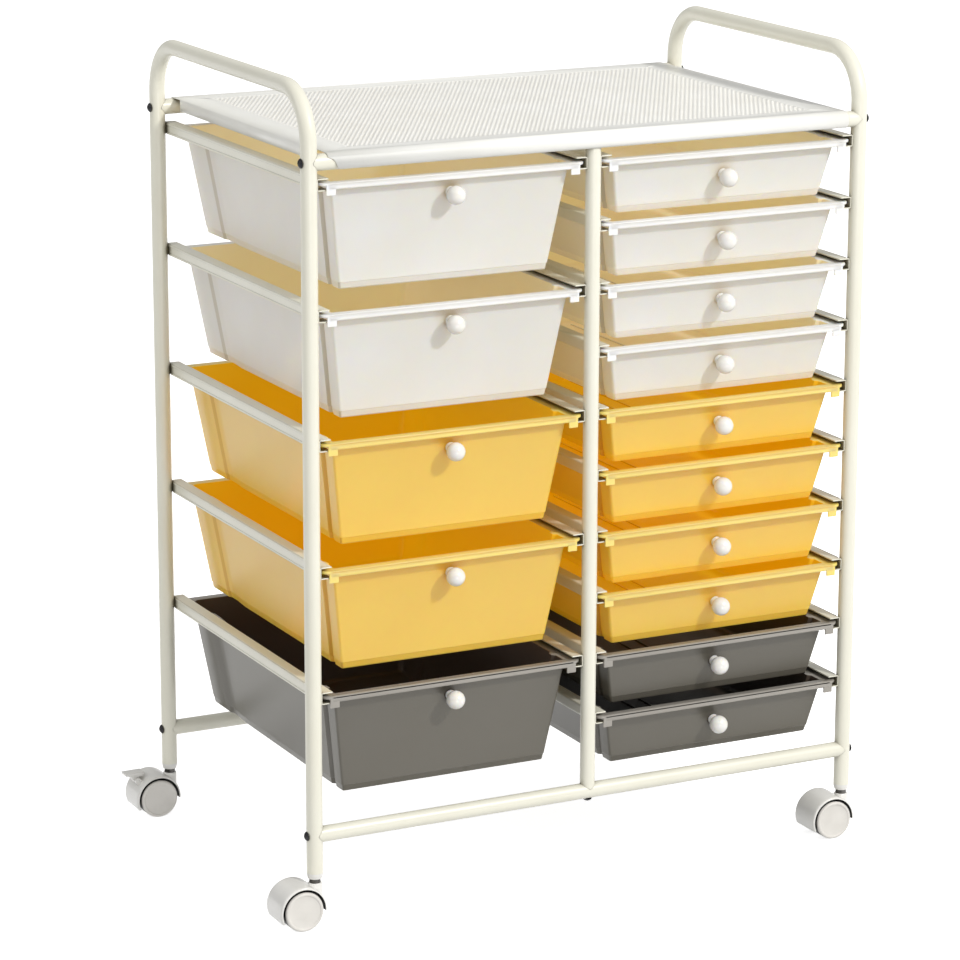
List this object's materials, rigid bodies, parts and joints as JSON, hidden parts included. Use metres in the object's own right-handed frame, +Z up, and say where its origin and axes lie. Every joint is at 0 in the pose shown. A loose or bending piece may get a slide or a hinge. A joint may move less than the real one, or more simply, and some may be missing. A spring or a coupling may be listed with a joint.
{
  "type": "rolling drawer cart",
  "caption": "Rolling drawer cart: bent-tube frame with two columns of pull-out drawers in side runners, a mesh shelf on top and swivelling twin-wheel casters.",
  "frame": {"origin": "middle of the footprint's bounding rectangle, on the floor", "axes": "+Z up; -Y is the front, where the drawers pull out; +X to the right as seen from the front"},
  "size_m": [0.6632, 0.4126, 0.823],
  "materials": {
    "cream_metal": "satin powder coat",
    "black_screw": "black oxide",
    "drawer_white": "satin",
    "drawer_yellow": "satin",
    "drawer_grey": "satin",
    "knob_plastic": "gloss",
    "caster_plastic": "semi-gloss",
    "wheel_plastic": "satin",
    "bare_steel": "brushed"
  },
  "bodies": {
    "frame": {"side_frame_left": "cream_metal", "side_frame_right": "cream_metal", "centre_frame": "cream_metal", "top_bar_front": "cream_metal", "top_bar_rear": "cream_metal", "low_bar_front": "cream_metal", "low_bar_rear": "cream_metal", "mesh_shelf": "cream_metal", "frame_screws": "black_screw", "post_bolts": "black_screw", "leg_sockets": "caster_plastic"},
    "drawer_left_1_set": {"drawer_left_1": "drawer_white", "knob_left_1": "knob_plastic"},
    "drawer_left_2_set": {"drawer_left_2": "drawer_white", "knob_left_2": "knob_plastic"},
    "drawer_left_3_set": {"drawer_left_3": "drawer_yellow", "knob_left_3": "knob_plastic"},
    "drawer_left_4_set": {"drawer_left_4": "drawer_yellow", "knob_left_4": "knob_plastic"},
    "drawer_left_5_set": {"drawer_left_5": "drawer_grey", "knob_left_5": "knob_plastic"},
    "drawer_right_01_set": {"drawer_right_01": "drawer_white", "knob_right_01": "knob_plastic"},
    "drawer_right_02_set": {"drawer_right_02": "drawer_white", "knob_right_02": "knob_plastic"},
    "drawer_right_03_set": {"drawer_right_03": "drawer_white", "knob_right_03": "knob_plastic"},
    "drawer_right_04_set": {"drawer_right_04": "drawer_white", "knob_right_04": "knob_plastic"},
    "drawer_right_05_set": {"drawer_right_05": "drawer_yellow", "knob_right_05": "knob_plastic"},
    "drawer_right_06_set": {"drawer_right_06": "drawer_yellow", "knob_right_06": "knob_plastic"},
    "drawer_right_07_set": {"drawer_right_07": "drawer_yellow", "knob_right_07": "knob_plastic"},
    "drawer_right_08_set": {"drawer_right_08": "drawer_yellow", "knob_right_08": "knob_plastic"},
    "drawer_right_09_set": {"drawer_right_09": "drawer_grey", "knob_right_09": "knob_plastic"},
    "drawer_right_10_set": {"drawer_right_10": "drawer_grey", "knob_right_10": "knob_plastic"},
    "swivel_fl": {"caster_hood_fl": "caster_plastic", "caster_steel_fl": "bare_steel"},
    "wheel_front_fl": {"wheel_front_fl": "wheel_plastic"},
    "wheel_back_fl": {"wheel_back_fl": "wheel_plastic"},
    "swivel_fr": {"caster_hood_fr": "caster_plastic", "caster_steel_fr": "bare_steel"},
    "wheel_front_fr": {"wheel_front_fr": "wheel_plastic"},
    "wheel_back_fr": {"wheel_back_fr": "wheel_plastic"},
    "swivel_rl": {"caster_hood_rl": "caster_plastic", "caster_steel_rl": "bare_steel"},
    "wheel_front_rl": {"wheel_front_rl": "wheel_plastic"},
    "wheel_back_rl": {"wheel_back_rl": "wheel_plastic"},
    "brake_rl": {"brake_rl": "caster_plastic"},
    "swivel_rr": {"caster_hood_rr": "caster_plastic", "caster_steel_rr": "bare_steel"},
    "wheel_front_rr": {"wheel_front_rr": "wheel_plastic"},
    "wheel_back_rr": {"wheel_back_rr": "wheel_plastic"},
    "brake_rr": {"brake_rr": "caster_plastic"}
  },
  "joints": [
    {"name": "slide_left_1", "type": "slide", "parent": "frame", "child": "drawer_left_1_set", "axis": [0, -1, 0], "range_m": [0, 0.25]},
    {"name": "slide_left_2", "type": "slide", "parent": "frame", "child": "drawer_left_2_set", "axis": [0, -1, 0], "range_m": [0, 0.25]},
    {"name": "slide_left_3", "type": "slide", "parent": "frame", "child": "drawer_left_3_set", "axis": [0, -1, 0], "range_m": [0, 0.25]},
    {"name": "slide_left_4", "type": "slide", "parent": "frame", "child": "drawer_left_4_set", "axis": [0, -1, 0], "range_m": [0, 0.25]},
    {"name": "slide_left_5", "type": "slide", "parent": "frame", "child": "drawer_left_5_set", "axis": [0, -1, 0], "range_m": [0, 0.25]},
    {"name": "slide_right_01", "type": "slide", "parent": "frame", "child": "drawer_right_01_set", "axis": [0, -1, 0], "range_m": [0, 0.25]},
    {"name": "slide_right_02", "type": "slide", "parent": "frame", "child": "drawer_right_02_set", "axis": [0, -1, 0], "range_m": [0, 0.25]},
    {"name": "slide_right_03", "type": "slide", "parent": "frame", "child": "drawer_right_03_set", "axis": [0, -1, 0], "range_m": [0, 0.25]},
    {"name": "slide_right_04", "type": "slide", "parent": "frame", "child": "drawer_right_04_set", "axis": [0, -1, 0], "range_m": [0, 0.25]},
    {"name": "slide_right_05", "type": "slide", "parent": "frame", "child": "drawer_right_05_set", "axis": [0, -1, 0], "range_m": [0, 0.25]},
    {"name": "slide_right_06", "type": "slide", "parent": "frame", "child": "drawer_right_06_set", "axis": [0, -1, 0], "range_m": [0, 0.25]},
    {"name": "slide_right_07", "type": "slide", "parent": "frame", "child": "drawer_right_07_set", "axis": [0, -1, 0], "range_m": [0, 0.25]},
    {"name": "slide_right_08", "type": "slide", "parent": "frame", "child": "drawer_right_08_set", "axis": [0, -1, 0], "range_m": [0, 0.25]},
    {"name": "slide_right_09", "type": "slide", "parent": "frame", "child": "drawer_right_09_set", "axis": [0, -1, 0], "range_m": [0, 0.25]},
    {"name": "slide_right_10", "type": "slide", "parent": "frame", "child": "drawer_right_10_set", "axis": [0, -1, 0], "range_m": [0, 0.25]},
    {"name": "swivel_fl", "type": "hinge", "parent": "frame", "child": "swivel_fl", "pos_m": [-0.27915, -0.186, 0.045], "axis": [0, 0, 1], "continuous": true},
    {"name": "roll_front_fl", "type": "hinge", "parent": "swivel_fl", "child": "wheel_front_fl", "pos_m": [-0.29865, -0.186, 0.02], "axis": [0, 1, 0], "continuous": true},
    {"name": "roll_back_fl", "type": "hinge", "parent": "swivel_fl", "child": "wheel_back_fl", "pos_m": [-0.29865, -0.186, 0.02], "axis": [0, 1, 0], "continuous": true},
    {"name": "swivel_fr", "type": "hinge", "parent": "frame", "child": "swivel_fr", "pos_m": [0.32085, -0.186, 0.045], "axis": [0, 0, 1], "continuous": true},
    {"name": "roll_front_fr", "type": "hinge", "parent": "swivel_fr", "child": "wheel_front_fr", "pos_m": [0.30135, -0.186, 0.02], "axis": [0, 1, 0], "continuous": true},
    {"name": "roll_back_fr", "type": "hinge", "parent": "swivel_fr", "child": "wheel_back_fr", "pos_m": [0.30135, -0.186, 0.02], "axis": [0, 1, 0], "continuous": true},
    {"name": "swivel_rl", "type": "hinge", "parent": "frame", "child": "swivel_rl", "pos_m": [-0.27915, 0.186, 0.045], "axis": [0, 0, 1], "continuous": true},
    {"name": "roll_front_rl", "type": "hinge", "parent": "swivel_rl", "child": "wheel_front_rl", "pos_m": [-0.29865, 0.186, 0.02], "axis": [0, 1, 0], "continuous": true},
    {"name": "roll_back_rl", "type": "hinge", "parent": "swivel_rl", "child": "wheel_back_rl", "pos_m": [-0.29865, 0.186, 0.02], "axis": [0, 1, 0], "continuous": true},
    {"name": "brake_rl", "type": "hinge", "parent": "swivel_rl", "child": "brake_rl", "pos_m": [-0.31825, 0.186, 0.0392], "axis": [0, -1, 0], "range_deg": [0, 20]},
    {"name": "swivel_rr", "type": "hinge", "parent": "frame", "child": "swivel_rr", "pos_m": [0.32085, 0.186, 0.045], "axis": [0, 0, 1], "continuous": true},
    {"name": "roll_front_rr", "type": "hinge", "parent": "swivel_rr", "child": "wheel_front_rr", "pos_m": [0.30135, 0.186, 0.02], "axis": [0, 1, 0], "continuous": true},
    {"name": "roll_back_rr", "type": "hinge", "parent": "swivel_rr", "child": "wheel_back_rr", "pos_m": [0.30135, 0.186, 0.02], "axis": [0, 1, 0], "continuous": true},
    {"name": "brake_rr", "type": "hinge", "parent": "swivel_rr", "child": "brake_rr", "pos_m": [0.28175, 0.186, 0.0392], "axis": [0, -1, 0], "range_deg": [0, 20]}
  ]
}
